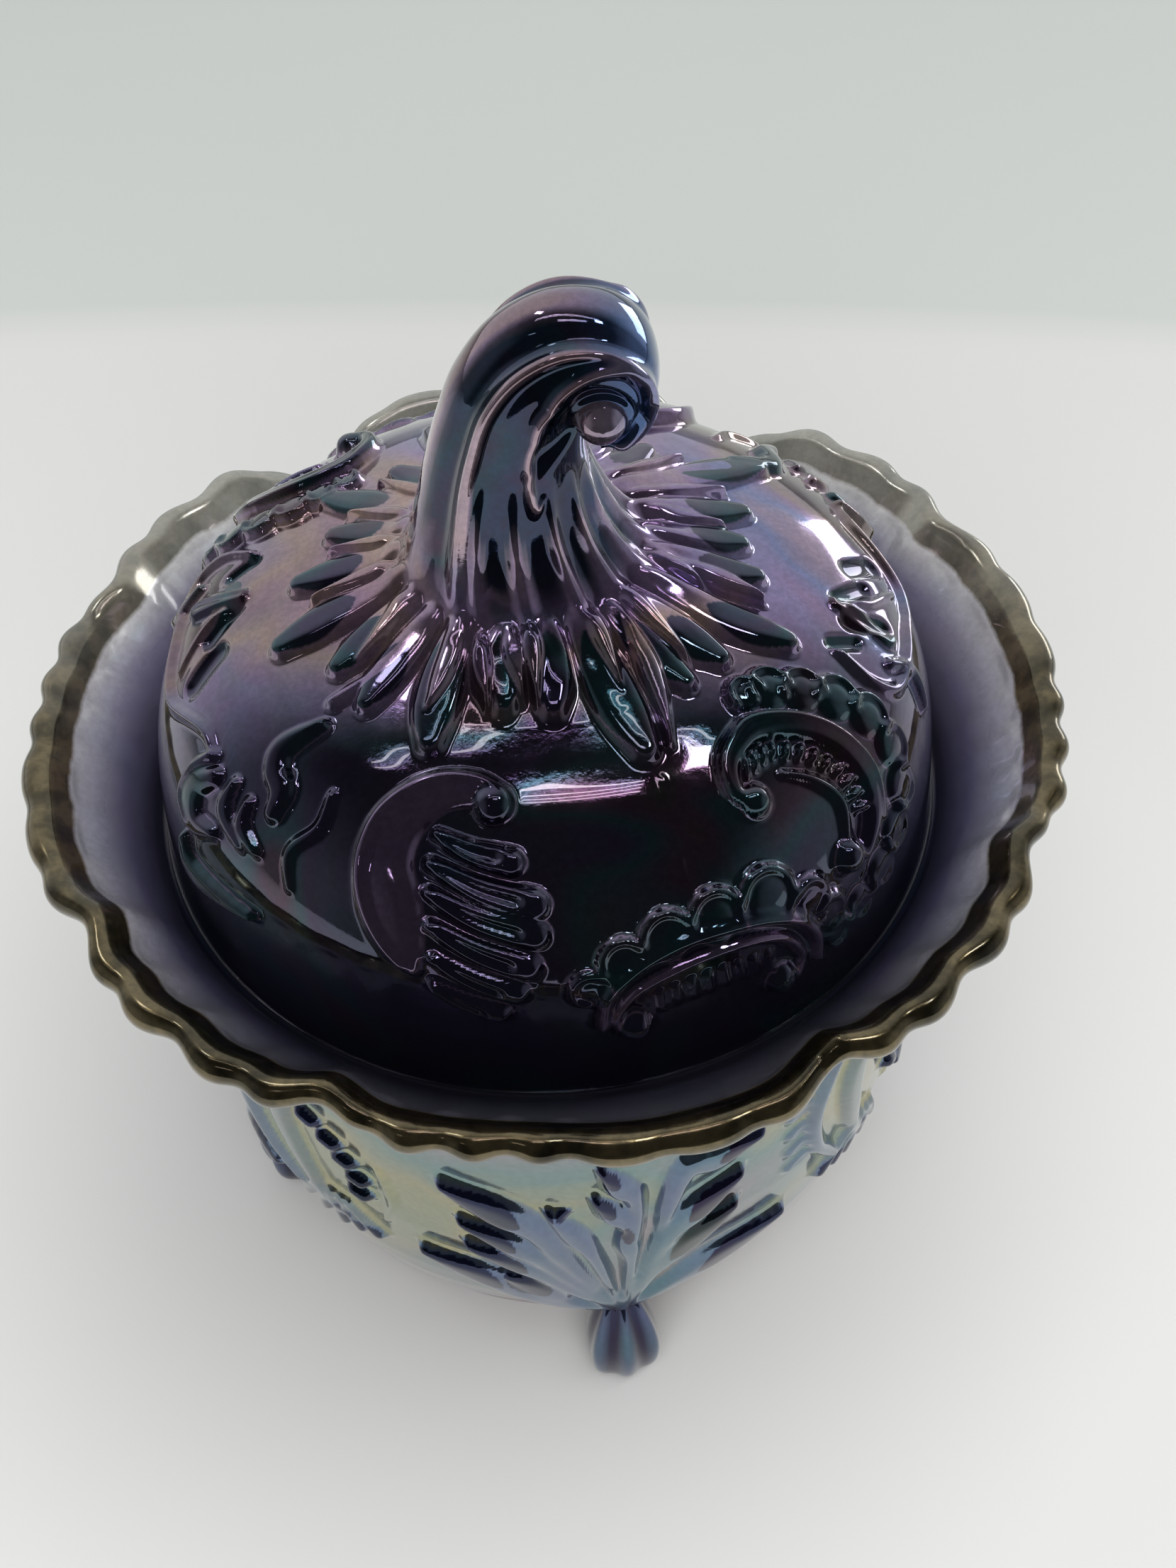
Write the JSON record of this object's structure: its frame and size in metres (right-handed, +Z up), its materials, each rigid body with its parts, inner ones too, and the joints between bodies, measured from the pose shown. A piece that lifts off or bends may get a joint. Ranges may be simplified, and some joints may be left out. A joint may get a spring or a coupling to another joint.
{
  "type": "covered candy dish",
  "caption": "Round covered candy dish in dark iridised pressed glass: footed bowl with ruffled gilt rim, lift-off domed lid with curled finial.",
  "frame": {"origin": "on the dish's vertical axis, on the plane that the feet stand on", "axes": "+Z up along the dish's axis; -Y is the front, so the finial leans to -X and curls over to +X"},
  "size_m": [0.158, 0.158, 0.1886],
  "materials": {
    "bowl_glass": "smoky amethyst pressed glass with a pearly iridised skin and a gilt rim",
    "lid_glass": "dark amethyst pressed glass with an iridised skin"
  },
  "bodies": {
    "dish": {"bowl": "bowl_glass"},
    "cover": {"lid": "lid_glass"}
  },
  "joints": [
    {"name": "lid_lift", "type": "slide", "parent": "dish", "child": "cover", "axis": [0, 0, 1], "range_m": [0, 0.09]}
  ]
}
